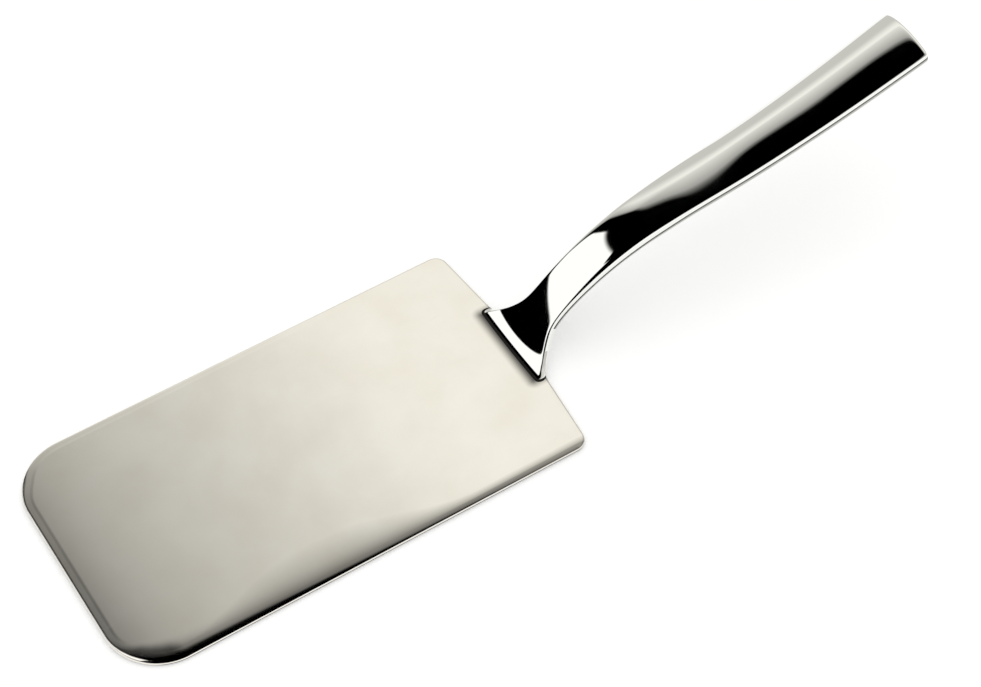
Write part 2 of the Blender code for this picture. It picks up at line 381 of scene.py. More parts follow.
# the counts are the same whatever the sizes
TOP_COUNT = len(top_points(18, 2, 2, 1))
RING_COUNT = TOP_COUNT + len(base_points(18, -2, 1))
print("points in a ring:", RING_COUNT)

# %% [markdown]
# The middle line of the handle, seen from the side, runs through nine points. They climb
# steeply out of the foot, bend over the neck and rise gently to the end. Between the points a
# cubic curve takes the slope from its neighbours.

# %% Side line, sizes in mm from the heel
SIDE_LINE = (
    (0.0, 3.9), (5.0, 9.2), (10.8, 14.7), (17.9, 20.0), (27.7, 25.3),
    (44.9, 30.5), (70.4, 35.3), (97.5, 42.0), (125.5, 50.6),
)
HANDLE_END = 124.95
JOINT_AT = 45.4


def slope_at_point(i):
    """Mean of the slopes on both sides, weighted by the distance to the other side."""
    low, high = max(i - 1, 0), min(i + 1, len(SIDE_LINE) - 1)
    x, z = SIDE_LINE[i]
    before = (z - SIDE_LINE[low][1]) / (x - SIDE_LINE[low][0]) if low < i else None
    after = (SIDE_LINE[high][1] - z) / (SIDE_LINE[high][0] - x) if high > i else None
    if before is None or after is None:
        return before or after
    run_before, run_after = x - SIDE_LINE[low][0], SIDE_LINE[high][0] - x
    return (before * run_after + after * run_before) / (run_before + run_after)


def line_at(x):
    """Height and slope angle of the middle line at x."""
    i = max(k for k in range(len(SIDE_LINE) - 1) if SIDE_LINE[k][0] <= x or k == 0)
    (x0, z0), (x1, z1) = SIDE_LINE[i], SIDE_LINE[i + 1]
    run = x1 - x0
    t = (x - x0) / run
    m0, m1 = slope_at_point(i) * run, slope_at_point(i + 1) * run
    height = (
        (2 * t**3 - 3 * t**2 + 1) * z0 + (t**3 - 2 * t**2 + t) * m0
        + (3 * t**2 - 2 * t**3) * z1 + (t**3 - t**2) * m1
    )
    rise = (6 * t**2 - 6 * t) * (z0 - z1) + (3 * t**2 - 4 * t + 1) * m0 + (3 * t**2 - 2 * t) * m1
    return height, math.atan(rise / run)


for x in (5, 20, 45, 90, 125):
    print("at", x, "mm: height %.1f mm, slope %.1f degrees" % (line_at(x)[0], math.degrees(line_at(x)[1])))


# %% [markdown]
# The section changes along the line. It is narrowest just above the foot and widens steadily
# to the end. The neck's front is nearly flat, with round shoulders; towards the handle the
# shoulders sink and a crown rises between them. A mirror shows every step in such a table, so
# its rows lie close together where the section changes fast.

# %% Section sizes
NECK_WIDTH = 11.7
HANDLE_WIDTH = 18.7
NARROWEST_AT = 7.9
WIDENING_POWER = 0.82
ROOT_FLARE = 8.0
FLARE_DECAY = 2.6


def width_at(x):
    """Width in mm: it grows from the narrowest place on, and the flare of the root fades out."""
    growth = max((x - NARROWEST_AT) / (HANDLE_END - NARROWEST_AT), 0.0) ** WIDENING_POWER
    return between(NECK_WIDTH, HANDLE_WIDTH, growth) + ROOT_FLARE * math.exp(-x / FLARE_DECAY)


# x, top edge, crown rise, top corner, bottom, base corner
SECTION_SIZES = (
    (5, 1.1, 0.3, 0.7, -2.3, 1.6),
    (12, 1.5, 0.3, 1.0, -2.3, 1.6),
    (22, 2.15, 0.2, 1.8, -2.3, 1.6),
    (30, 2.6, 0.3, 2.2, -2.3, 1.6),
    (36, 2.8, 0.5, 2.2, -2.25, 1.4),
    (43, 2.5, 0.85, 2.0, -2.2, 1.1),
    (52, 2.25, 1.25, 1.85, -2.2, 1.0),
    (62, 2.15, 1.8, 1.8, -2.15, 0.8),
    (72, 2.15, 2.3, 1.75, -2.15, 0.8),
    (84, 2.15, 2.55, 1.7, -2.15, 0.8),
    (130, 2.15, 2.6, 1.6, -2.15, 0.8),
)


def section_at(x):
    """Width, top edge, crown rise, top corner, bottom and base corner in mm."""
    i = max(k for k in range(len(SECTION_SIZES) - 1) if SECTION_SIZES[k][0] <= x)
    low, high = SECTION_SIZES[i], SECTION_SIZES[i + 1]
    share = (x - low[0]) / (high[0] - low[0])
    return (width_at(x),) + tuple(between(a, b, share) for a, b in zip(low[1:], high[1:]))


print("widths:", [round(width_at(x), 1) for x in (3, 8, 20, 45, 90, 125)])

# %% [markdown]
# The foot isn't part of that line. It is a set of level and leaning rings that grow out of the
# blade: a small hollow fillet, as is left where a weld is ground and buffed, a steep front wall,
# and then the first rings of the neck.

# %% Rings of the foot and the neck
# x, z, tilt in degrees, width, top edge, crown rise, top corner, bottom, base corner
FOOT_RINGS = (
    (-3.1, 2.02, 90, 29.2, 1.6, 0.2, 1.3, -1.9, 1.2),
    (-2.6, 2.14, 90, 27.8, 1.2, 0.2, 0.9, -1.6, 0.9),
    (-2.1, 2.48, 90, 26.2, 0.8, 0.2, 0.5, -1.4, 0.7),
    (-1.35, 3.15, 86, 24.0, 0.6, 0.25, 0.3, -1.4, 0.7),
    (-0.15, 4.05, 80, 21.8, 0.65, 0.3, 0.35, -1.7, 1.0),
    (1.4, 5.45, 68, 18.6, 0.75, 0.3, 0.45, -1.9, 1.2),
    (3.4, 7.5, 58, 15.3, 0.95, 0.3, 0.6, -2.2, 1.5),
)
NECK_STATIONS = (5.6, 8.8, 12.5, 17.0, 22.0, 28.0, 35.0, 40.5)
HANDLE_STATIONS = (JOINT_AT, 50.0, 58.0, 67.0, 77.0, 87.0, 97.0, 107.0, 115.0, 120.0)
CAP_THICKNESS = 3.0
CAP_ROUNDING = 0.8
CAP_STEPS = 4

rings = []
ring_piece = []
for x, z, tilt, *sizes in FOOT_RINGS:
    rings.append(ring_points(x, z, math.radians(tilt), section_points(*sizes)))
    ring_piece.append("neck")
for x in NECK_STATIONS + HANDLE_STATIONS + (HANDLE_END - CAP_THICKNESS,):
    rings.append(ring_points(x, *line_at(x), section_points(*section_at(x))))
    ring_piece.append("neck" if x < JOINT_AT else "handle")
ring_piece[-1] = "cap"
print("rings of foot, neck and handle:", len(rings))

# %% [markdown]
# The last rings close in towards the square-cut end: the end plate has a small rounding.

# %% Rings of the end plate
cap_x = HANDLE_END - CAP_THICKNESS
cap_z, cap_tilt = line_at(cap_x)
cap_sizes = section_at(cap_x)
cap_outline = section_points(*cap_sizes)
low_n = min(n for _, n in cap_outline)
high_n = max(n for _, n in cap_outline)
for step in range(CAP_STEPS + 1):
    angle = math.pi / 2 * step / CAP_STEPS
    inset = CAP_ROUNDING * (1 - math.cos(angle))
    ahead = CAP_THICKNESS - CAP_ROUNDING * (1 - math.sin(angle))
    across = 1 - 2 * inset / cap_sizes[0]
    along = 1 - 2 * inset / (high_n - low_n)
    middle = (low_n + high_n) / 2
    outline = [(y * across, middle + (n - middle) * along) for y, n in cap_outline]
    x = cap_x + ahead * math.cos(cap_tilt)
    rings.append(ring_points(x, cap_z + ahead * math.sin(cap_tilt), cap_tilt, outline))
    ring_piece.append("cap")
print("rings:", len(rings))

# %% [markdown]
# A circle is added for the first ring and pressed into its outline, so its radius doesn't matter.
# Then the ring is extruded from station to station, and each new ring is pressed in turn, so the
# skin grows like a tube that is drawn over formers. Last, both ends are closed.

# %% Loft the skin
select_only()
bpy.ops.mesh.primitive_circle_add(vertices=RING_COUNT, radius=10 * MM, location=(0, 0, 0))
skin = bpy.context.object
skin.name = "skin"
bpy.ops.object.mode_set(mode="EDIT")
bpy.ops.mesh.select_mode(type="VERT")
bpy.ops.mesh.select_all(action="SELECT")


def press(points):
    """Lays the selected ring's vertices on the outline."""
    edit = bmesh.from_edit_mesh(skin.data)
    ring = [vert for vert in edit.verts if vert.select]
    ring.sort(key=lambda vert: vert.index)
    for vert, point in zip(ring, points):
        vert.co = point
    bmesh.update_edit_mesh(skin.data)


press(rings[0])
for points in rings[1:]:
    bpy.ops.mesh.extrude_region_move()
    press(points)
bpy.ops.mesh.edge_face_add()
bpy.ops.mesh.select_all(action="DESELECT")
bpy.ops.mesh.select_mode(type="EDGE")
bpy.ops.mesh.select_non_manifold()
bpy.ops.mesh.edge_face_add()
bpy.ops.mesh.select_all(action="SELECT")
bpy.ops.mesh.normals_make_consistent(inside=False)
bpy.ops.object.mode_set(mode="OBJECT")
print("skin cage:", len(skin.data.vertices), "vertices,", len(skin.data.polygons), "faces")

# %% [markdown]
# The pieces are marked by material slot while the cage is still coarse, because a subdivision
# keeps each face's slot. The narrow strip along both sides is the parting line: the seam between
# the two pressed shells. On the neck and the end plate it is a dark line along each side. It gets
# a slot of its own.

# %% Mark the pieces
PIECES = (
    "neck", "neck_line", "neck_low", "handle_top", "handle_bottom", "seam", "cap", "cap_line", "cap_low",
)
LINE_STARTS = len(FOOT_RINGS)
for name in PIECES:
    skin.data.materials.append(bpy.data.materials.new("mark_" + name))


def piece_of(face):
    """Slot of a cage face, from the ring and the place in the ring of its vertices."""
    ring = min(index // RING_COUNT for index in face.vertices)
    places = sorted(index % RING_COUNT for index in face.vertices)
    if len(face.vertices) > 4:
        return "cap" if ring > 0 else "neck"
    if ring < LINE_STARTS:
        return "neck"
    on_line = places == [0, 0, RING_COUNT - 1, RING_COUNT - 1]
    on_line = on_line or places == [TOP_COUNT - 1, TOP_COUNT - 1, TOP_COUNT, TOP_COUNT]
    below = places[-1] >= TOP_COUNT
    if ring_piece[ring] == "handle":
        return "seam" if on_line else "handle_bottom" if below else "handle_top"
    return ring_piece[ring] + ("_line" if on_line else "_low" if below else "")


for face in skin.data.polygons:
    face.material_index = PIECES.index(piece_of(face))

print("marked", len(skin.data.polygons), "faces for", len(PIECES), "slots")

# %% [markdown]
# Subdivision rounds the cage to one smooth surface. Only the first ring, which lies on the blade,
# is creased, so that the foot keeps its outline.

# %% Smooth the skin
SMOOTHING_LEVELS = 3
crease = skin.data.attributes.new("crease_edge", "FLOAT", "EDGE")
for edge in skin.data.edges:
    if all(index < RING_COUNT for index in edge.vertices):
        crease.data[edge.index].value = 1.0
apply_modifier(skin, "SUBSURF", levels=SMOOTHING_LEVELS, render_levels=SMOOTHING_LEVELS)
print("smooth skin:", len(skin.data.polygons), "faces")

# %% [markdown]
# Separating by material turns the one skin into the real pieces. Their edges match exactly,
# because they were the same edge a moment ago. The neck is one forging and the end one plate,
# so their lines and undersides are joined to them again and only keep materials of their own.

# %% Cut the skin into pieces
SAME_PLACE = 0.001 * MM
select_only(skin)
bpy.ops.object.mode_set(mode="EDIT")
bpy.ops.mesh.select_all(action="SELECT")
bpy.ops.mesh.separate(type="MATERIAL")
bpy.ops.object.mode_set(mode="OBJECT")
parts = {}
for obj in bpy.context.selected_objects:
    parts[obj.data.materials[0].name.removeprefix("mark_")] = obj
for name in ("neck", "cap"):
    select_only(parts[name], parts.pop(name + "_line"), parts.pop(name + "_low"))
    bpy.ops.object.join()
    bpy.ops.object.mode_set(mode="EDIT")
    bpy.ops.mesh.select_all(action="SELECT")
    bpy.ops.mesh.remove_doubles(threshold=SAME_PLACE)
    bpy.ops.object.mode_set(mode="OBJECT")

OBJECT_NAMES = {
    "neck": "neck_forging", "handle_top": "shell_top", "handle_bottom": "shell_bottom",
    "cap": "end_plate", "seam": "shell_seam",
}
for name, obj in parts.items():
    obj.name = OBJECT_NAMES[name]
    print(obj.name, len(obj.data.polygons), "faces")

# %% [markdown]
# The shells get the thickness of their sheet, inwards. The compound in the parting line lies a
# little below the steel.

# %% Walls of the shells and the seam
SHELL_THICKNESS = 0.9 * MM
SEAM_DEPTH = 0.12 * MM
SEAM_THICKNESS = 0.3 * MM
for name in ("handle_top", "handle_bottom"):
    apply_modifier(parts[name], "SOLIDIFY", thickness=SHELL_THICKNESS, offset=-1)

seam = parts["seam"]
for vert in seam.data.vertices:
    vert.co.y -= math.copysign(SEAM_DEPTH, vert.co.y)
apply_modifier(seam, "SOLIDIFY", thickness=SEAM_THICKNESS, offset=-1)
print("shell walls:", round(SHELL_THICKNESS / MM, 2), "mm")

# %% [markdown]
# The neck and the end plate are solid, so their open ends are closed. The neck carries on as a
# tang and the plate as a short plug, both hidden in the handle, as on the real one.

# %% Tang and plug
TANG_INSET = 1.6 * MM
TANG_LENGTH = 20.0
PLUG_INSET = 1.4 * MM
PLUG_LENGTH = 2.5


def plug(obj, shrink, move):
    """Closes the open end and draws a smaller, straight plug out of it."""
    select_only(obj)
    bpy.ops.object.mode_set(mode="EDIT")
    bpy.ops.mesh.select_mode(type="EDGE")
    bpy.ops.mesh.select_all(action="DESELECT")
    bpy.ops.mesh.select_non_manifold()
    bpy.ops.mesh.edge_face_add()
    bpy.ops.mesh.select_mode(type="FACE")
    bpy.ops.mesh.inset(thickness=shrink)
    bpy.ops.mesh.extrude_region_move(TRANSFORM_OT_translate={"value": move})
    bpy.ops.mesh.select_all(action="SELECT")
    bpy.ops.mesh.normals_make_consistent(inside=False)
    bpy.ops.object.mode_set(mode="OBJECT")


def along_line(x, length):
    """A step of length mm along the middle line at x."""
    tilt = line_at(x)[1]
    return (length * math.cos(tilt) * MM, 0, length * math.sin(tilt) * MM)


plug(parts["neck"], TANG_INSET, along_line(JOINT_AT, TANG_LENGTH))
plug(parts["cap"], PLUG_INSET, along_line(cap_x, -PLUG_LENGTH))
for obj in parts.values():
    select_only(obj)
    bpy.ops.object.shade_smooth_by_angle(angle=math.radians(30))
print("walls and plugs done")

# %% [markdown]
# ## Polished steel
#
# Bare stainless steel has no colour of its own beyond a faint warm grey; it tints what it
# reflects. Everything else is in the finish. The neck and the handle are buffed on a soft
# wheel: nearly a perfect mirror, with faint lines where the wheel ran. The blade is ground
# fine before it is buffed, and it is used: its mirror is a little milky and blotchy.


# %% Node helper and colours
def linear(hex_colour):
    """Turns an sRGB hex colour into linear RGBA."""
    channels = [int(hex_colour[i:i + 2], 16) / 255 for i in (1, 3, 5)]
    return [c / 12.92 if c <= 0.04045 else ((c + 0.055) / 1.055) ** 2.4 for c in channels] + [1.0]


def node(tree, kind, settings=None, values=None, links=None):
    """Adds a node. Settings are its own, values and links belong to its sockets by name or number.

    A link starts at a socket, or at a node's first output if only the node is given.
    """
    new = tree.nodes.new("ShaderNode" + kind)
    for name, value in (settings or {}).items():
        setattr(new, name, value)
    for socket, value in (values or {}).items():
        new.inputs[socket].default_value = value
    for socket, source in (links or {}).items():
        output = source.outputs[0] if hasattr(source, "outputs") else source
        tree.links.new(output, new.inputs[socket])
    return new


def new_material(name):
    """A material with its Principled shader, which all finishes here start from."""
    material = bpy.data.materials.new(name)
    material.use_nodes = True
    tree = material.node_tree
    return material, tree, tree.nodes["Principled BSDF"]


TIMES = {"operation": "MULTIPLY"}
MINUS = {"operation": "SUBTRACT"}
LARGER = {"operation": "MAXIMUM"}
ABSOLUTE = {"operation": "ABSOLUTE"}
DOT = {"operation": "DOT_PRODUCT"}
SMOOTH = {"interpolation_type": "SMOOTHSTEP"}
POLISHED_STEEL = linear("#F0F0ED")
SATIN_STEEL_SHADED = linear("#B6B6B2")
GROUND_STEEL = linear("#F3F0E9")
GROUND_STEEL_WORN = linear("#EDE9E0")
WHITE = (1, 1, 1, 1)
print("steel:", [round(c, 3) for c in POLISHED_STEEL])

# %% [markdown]
# Wheel lines on polished steel are finer than a hair and wouldn't show in the picture, so they
# are drawn 0.35 mm apart. Noise that is squeezed along the handle makes such lines. A second,
# broad noise varies the roughness, as fingers and cloths leave it.

# %% Mirror-polished stainless steel
WHEEL_LINES = 1 / (0.35 * MM)
SMEARS = 1 / (9 * MM)
ALONG_HANDLE = (0.04, 1.0, 0.3)
LINE_DEPTH = 0.02 * MM

polished, tree, shader = new_material("mirror_polished_stainless_steel")
shader.inputs["Metallic"].default_value = 1.0
shader.inputs["Base Color"].default_value = POLISHED_STEEL
place = node(tree, "TexCoord").outputs["Object"]
drawn = node(tree, "Mapping", values={"Scale": ALONG_HANDLE}, links={"Vector": place})
lines = node(tree, "TexNoise", values={"Scale": WHEEL_LINES, "Detail": 3.0}, links={"Vector": drawn})
smears = node(tree, "TexNoise", values={"Scale": SMEARS, "Detail": 4.0}, links={"Vector": place})
rough = node(tree, "MapRange", values={"To Min": 0.02, "To Max": 0.06}, links={"Value": smears})
bump = node(tree, "Bump", values={"Strength": 0.02, "Distance": LINE_DEPTH}, links={"Height": lines})
tree.links.new(rough.outputs[0], shader.inputs["Roughness"])
tree.links.new(bump.outputs[0], shader.inputs["Normal"])
print("polished steel has", len(tree.nodes), "nodes")

# %% [markdown]
# The underside is only brushed over, because nobody looks there. It is the same steel with the
# same lines, so its material starts as a copy and becomes softer. It also becomes greyer, which
# is painted shade: the lower sides mirror the table where the server shades it.

# %% Satin-polished stainless steel, greyed as painted shade
SATIN_ROUGHNESS = (0.26, 0.36)

underside = polished.copy()
underside.name = "satin_polished_stainless_steel"
satin = underside.node_tree.nodes
satin["Map Range"].inputs["To Min"].default_value = SATIN_ROUGHNESS[0]
satin["Map Range"].inputs["To Max"].default_value = SATIN_ROUGHNESS[1]
satin["Principled BSDF"].inputs["Base Color"].default_value = SATIN_STEEL_SHADED
print("underside:", underside.name)

# %% [markdown]
# The blade's flat was ground along its length and has since slid under many a pizza: its mirror
# is a little soft and has faint warm blotches. The lines of the grinding are drawn 0.4 mm apart,
# coarser than real ones, so that they can show.

# %% Fine-ground, used stainless steel
GRIND_LINES = 1 / (0.4 * MM)
BLOTCHES = 1 / (16 * MM)
ALONG_BLADE = (0.05, 1.0, 1.0)

ground, tree, shader = new_material("fine_ground_stainless_steel")
place = node(tree, "TexCoord").outputs["Object"]
along, across, up = node(tree, "SeparateXYZ", links={0: place}).outputs
drawn = node(tree, "Mapping", values={"Scale": ALONG_BLADE}, links={"Vector": place})
lines = node(tree, "TexNoise", values={"Scale": GRIND_LINES, "Detail": 3.0}, links={"Vector": drawn})
blotch = node(tree, "TexNoise", values={"Scale": BLOTCHES, "Detail": 5.0}, links={"Vector": place})
worn = node(tree, "MapRange", values={"From Min": 0.34, "From Max": 0.66}, links={"Value": blotch})
tint = node(tree, "Mix", {"data_type": "RGBA"}, {6: GROUND_STEEL_WORN, 7: GROUND_STEEL}, {"Factor": worn})
bump = node(tree, "Bump", values={"Strength": 0.03, "Distance": LINE_DEPTH}, links={"Height": lines})
tree.links.new(bump.outputs[0], shader.inputs["Normal"])
print("blotches are about", round(1 / BLOTCHES / MM), "mm across")

# %% [markdown]
# The blade's colour darkens in a narrow halo round the foot. This is painted shade: it stands in
# for the foot's shade and its blurred reflection in the blade. It follows the distance to the foot,
# which is nearly a rectangle in plan: the distance before it and the distance beside it, neither
# below zero, make one length.

# %% Painted shade round the foot
HALO_FROM, HALO_TO = -0.4 * MM, 3.2 * MM
HALO_DARKEST = 0.10
HALO_SET_IN = 1.5 * MM
FOOT_REACH = 2 * MM

foot = [vert.co for vert in parts["neck"].data.vertices]
foot_front = min(point.x for point in foot)
foot_half = max(abs(point.y) for point in foot if point.x < foot_front + FOOT_REACH)
print("foot begins at", round(foot_front / MM, 2), "mm, half width", round(foot_half / MM, 2), "mm")

before = node(tree, "Math", MINUS, {0: foot_front}, {1: along})
before = node(tree, "Math", LARGER, {1: 0.0}, {0: before})
aside = node(tree, "Math", ABSOLUTE, links={0: across})
beside = node(tree, "Math", MINUS, {1: foot_half - HALO_SET_IN}, {0: aside})
beside = node(tree, "Math", LARGER, {1: 0.0}, {0: beside})
gap = node(tree, "CombineXYZ", links={0: before, 1: beside})
gap = node(tree, "VectorMath", {"operation": "LENGTH"}, links={0: gap}).outputs["Value"]
limits = {"From Min": HALO_FROM, "From Max": HALO_TO, "To Min": HALO_DARKEST}
# painted shade: darkest against the foot, gone a few millimetres away
foot_shade = node(tree, "MapRange", SMOOTH, limits, {"Value": gap})

# %% [markdown]
# The lower part of the near long edge is painted darker. This is painted shade along the line
# where the blade meets the table. Only the near long side has it; everywhere else the edge keeps
# its plain colour.

# %% Painted shade along the near edge
EDGE_SHADE_TO, EDGE_PLAIN_FROM = 0.65 * MM, 0.80 * MM
EDGE_SHADE_LEVEL = 0.22
NEAR_TO, FAR_FROM = -37.0 * MM, -35.5 * MM

limits = {"From Min": EDGE_SHADE_TO, "From Max": EDGE_PLAIN_FROM, "To Min": EDGE_SHADE_LEVEL}
near_edge_shade = node(tree, "MapRange", values=limits, links={"Value": up})
limits = {"From Min": NEAR_TO, "From Max": FAR_FROM}
farther = node(tree, "MapRange", values=limits, links={"Value": across})
near_edge_shade = node(tree, "Math", LARGER, links={0: near_edge_shade, 1: farther})
# the print gives the height of the painted shade on the near edge
print("the lower", round(EDGE_SHADE_TO / MM, 2), "mm of the near edge are torn")

# %% [markdown]
# Along the near long side the top is painted darker in a border. This is a painted reflection: it
# stands in for the dark room that the mirror shows where the flat rolls off towards the edge. It is
# widest near the middle of the side and narrows towards both ends. It is darkest at its rim and
# brightens fast at first, which a power below 1 gives. The edge of the sheet lies lower and is
# left out.

# %% Painted dark border
BORDER_MIDDLE = -12 * MM
BORDER_WIDE_WITHIN, BORDER_NARROW_FROM = 5 * MM, 45 * MM
BORDER_NARROW, BORDER_WIDE = 2 * MM, 11 * MM
BORDER_START = -37 * MM
BORDER_POWER = 0.4
BORDER_DARKEST = 0.35
EDGE_TO, TOP_FROM = 1.2 * MM, 1.6 * MM

from_middle = node(tree, "Math", MINUS, {1: BORDER_MIDDLE}, {0: along})
from_middle = node(tree, "Math", ABSOLUTE, links={0: from_middle})
limits = {"From Min": BORDER_NARROW_FROM, "From Max": BORDER_WIDE_WITHIN}
limits |= {"To Min": BORDER_NARROW, "To Max": BORDER_WIDE}
border = node(tree, "MapRange", SMOOTH, limits, {"Value": from_middle})
inside = node(tree, "Math", MINUS, {1: BORDER_START}, {0: across})
inside = node(tree, "Math", LARGER, {1: 0.0}, {0: inside})
inside = node(tree, "Math", {"operation": "DIVIDE", "use_clamp": True}, links={0: inside, 1: border})
border_shade = node(tree, "Math", {"operation": "POWER"}, {1: BORDER_POWER}, {0: inside})
border_shade = node(tree, "Math", LARGER, {1: BORDER_DARKEST}, {0: border_shade})
limits = {"From Min": EDGE_TO, "From Max": TOP_FROM, "To Min": 1.0, "To Max": 0.0}
lower = node(tree, "MapRange", values=limits, links={"Value": up})
border_shade = node(tree, "Math", LARGER, links={0: border_shade, 1: lower})

# the painted shade round the foot, the painted shade on the near edge and the painted border darken the
# colour
shade = node(tree, "Math", TIMES, links={0: foot_shade, 1: near_edge_shade})
shade = node(tree, "Math", TIMES, links={0: shade, 1: border_shade})
shaded = node(tree, "VectorMath", {"operation": "SCALE"}, links={0: tint.outputs[2], "Scale": shade})
tree.links.new(shaded.outputs[0], shader.inputs["Base Color"])
print("border up to", round(BORDER_WIDE / MM), "mm wide")

# %% [markdown]
# A few hair scratches catch the light. They are the peaks of a noise with cells 1.2 mm wide,
# squeezed almost to lines, and show only where the blotches let them through. The rim was buffed
# and stays clear, so the milky part is masked by the height of the flat.

# %% Scratches and milkiness
SCRATCHES = 1 / (1.2 * MM)
SCRATCH_RUN = {"Scale": (0.03, 1.0, 1.0), "Rotation": (0, 0, 0.18)}
SCRATCH_ROUGHNESS = 0.12
MILKINESS = 0.05
RIM_TO, FLAT_FROM = BLADE_THICKNESS - 0.25 * MM, BLADE_THICKNESS - 0.05 * MM

bent = node(tree, "Mapping", values=SCRATCH_RUN, links={"Vector": place})
peaks = node(tree, "TexNoise", values={"Scale": SCRATCHES, "Detail": 1.0}, links={"Vector": bent})
scratch = node(tree, "MapRange", values={"From Min": 0.70, "From Max": 0.82}, links={"Value": peaks})
patches = node(tree, "MapRange", values={"From Min": 0.54, "From Max": 0.62}, links={"Value": blotch})
hair = node(tree, "Math", TIMES, links={0: scratch, 1: patches})
rough = node(tree, "MapRange", values={"To Min": 0.07, "To Max": 0.13}, links={"Value": blotch})
rough = node(tree, "Math", {"operation": "MULTIPLY_ADD"}, {1: SCRATCH_ROUGHNESS}, {0: hair, 2: rough})
on_flat = node(tree, "MapRange", values={"From Min": RIM_TO, "From Max": FLAT_FROM}, links={"Value": up})
clear = node(tree, "Math", {"operation": "MULTIPLY_ADD"}, {1: -MILKINESS, 2: 1.0}, {0: on_flat})
tree.links.new(rough.outputs[0], shader.inputs["Roughness"])
tree.links.new(clear.outputs[0], shader.inputs["Metallic"])
print("ground steel has", len(tree.nodes), "nodes")

# %% [markdown]
# What fills a parting line on a finished server is not a gap: it is dried polishing compound and
# tarnish, matt and nearly black. The same dark material draws the lines along the sides of the neck
# and the end plate, and it is painted shade in the corner where the foot meets the blade.

# %% Dried polishing compound, also used as painted shade
CRUMBS = 1 / (0.6 * MM)

compound_and_shade, tree, shader = new_material("dried_polishing_compound")
place = node(tree, "TexCoord").outputs["Object"]
crumbs = node(tree, "TexNoise", values={"Scale": CRUMBS, "Detail": 2.0}, links={"Vector": place})
shade = node(tree, "ValToRGB", links={"Fac": crumbs})
shade.color_ramp.elements[0].color = linear("#0B0B0B")
shade.color_ramp.elements[1].color = linear("#24211D")
tree.links.new(shade.outputs["Color"], shader.inputs["Base Color"])
shader.inputs["Roughness"].default_value = 0.8
shader.inputs["Specular IOR Level"].default_value = 0.2
print("compound has", len(tree.nodes), "nodes")

# %% [markdown]
# A piece may have more than one finish. Polish covers what the hand and the eye meet, the
# underside is satin, greyed as painted shade, and compound fills the lines. In the corner round
# the foot the same dark material is painted shade. The marks that cut the skin are still the
# slots of its pieces, so each mark is exchanged for a finish. On the blade, faces are told apart
# by their height.

# %% Finishes of the pieces
CORNER_SHADE_HIGH = 0.16 * MM
UNDERSIDE_SHARE = 0.9

for obj in parts.values():
    obj.data.materials[0] = polished
seam.data.materials[0] = compound_and_shade
parts["handle_bottom"].data.materials[0] = underside
for name in ("neck", "cap"):
    for i, material in enumerate(parts[name].data.materials):
        if material.name.endswith("_line"):
            parts[name].data.materials[i] = compound_and_shade
        if material.name.endswith("_low"):
            parts[name].data.materials[i] = underside
neck = parts["neck"].data
# the lowest faces of the foot take the dark material: painted shade in the corner on the blade
corner_shade_slot = [i for i, material in enumerate(neck.materials) if material == compound_and_shade][0]
for face in neck.polygons:
    if face.center.z < BLADE_THICKNESS + CORNER_SHADE_HIGH:
        face.material_index = corner_shade_slot
print("neck faces with compound:", sum(face.material_index == corner_shade_slot for face in neck.polygons))
blade.data.materials.append(ground)
blade.data.materials.append(underside)
# the underside and the lowest rounding of the edge are satin; on the edge the greyer colour is painted
# shade where the blade meets the table
for face in blade.data.polygons:
    face.material_index = 1 if face.center.z < EDGE_ROUNDING * UNDERSIDE_SHARE else 0

# %% [markdown]
# Each piece now moves with the only body, and the frame's solid that it stands for is hidden. The
# table also gives what each piece is made of in the record's words, which nothing here reads. The
# seam stands for no solid: it is an addition.

# %% Hand the pieces to the frame
STANDS_FOR = (
    (blade, "blade", "fine_ground_steel"),
    (parts["neck"], "neck", "mirror_polished_steel"),
    (parts["handle_top"], "handle_top", "mirror_polished_steel"),
    (parts["handle_bottom"], "handle_bottom", "mirror_polished_steel"),
    (parts["cap"], "end_cap", "mirror_polished_steel"),
)
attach(seam, "root")
for piece, cad_node, slot in STANDS_FOR:
    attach(piece, "root")
    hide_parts(cad_node)
print("pieces:", [piece.name for piece, *_ in STANDS_FOR])

# %% [markdown]
# ## The table and the room
#
# Polished steel is photographed by what surrounds it. The table is plain white. Around it
# stands a dome, as a photographer's light tent does: dark, with a big warm-white cloth on the
# heel's side, a white lamp box beyond the tip, and a white strip at table height where no cloth
# hangs. A world painted by direction would be simpler. But blade and handle are a hand's breadth
# apart, and a tent that is only a metre away shows each of them another part of itself.
#
# The table's colour makes it nearly white. A little light of its own takes it the rest of the
# way, for what sees it or mirrors it, so no lamp has to be too strong for the steel.

# %% Table
TABLE_SIZE = 12
TABLE_GLOW = 0.2

select_only()
bpy.ops.mesh.primitive_plane_add(size=TABLE_SIZE, location=(0, 0, 0))
table = bpy.context.object
table.name = "table"
table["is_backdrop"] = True
paper, tree, shader = new_material("matt_white_table")
shader.inputs["Base Color"].default_value = linear("#FBFBFA")
shader.inputs["Roughness"].default_value = 0.9
shader.inputs["Specular IOR Level"].default_value = 0.0
rays = node(tree, "LightPath").outputs
seen = node(tree, "Math", LARGER, links={0: rays["Is Camera Ray"], 1: rays["Is Glossy Ray"]})
seen = node(tree, "Math", LARGER, links={0: seen, 1: rays["Is Transmission Ray"]})
lift = node(tree, "Math", TIMES, {1: TABLE_GLOW}, {0: seen})
shader.inputs["Emission Color"].default_value = WHITE
tree.links.new(lift.outputs[0], shader.inputs["Emission Strength"])
table.data.materials.append(paper)
print("table:", table.dimensions.x, "m")

# %% [markdown]
# The dome is seen by mirror rays only. Its wall glows, and how much depends on where a place of
# the wall lies, seen from the server: on its height, and on its bearing round the table. Both
# come from the direction to it, of length 1, so a height here is the sine of an angle.

# %% Dome and directions on its wall
TENT_RADIUS = 1.0

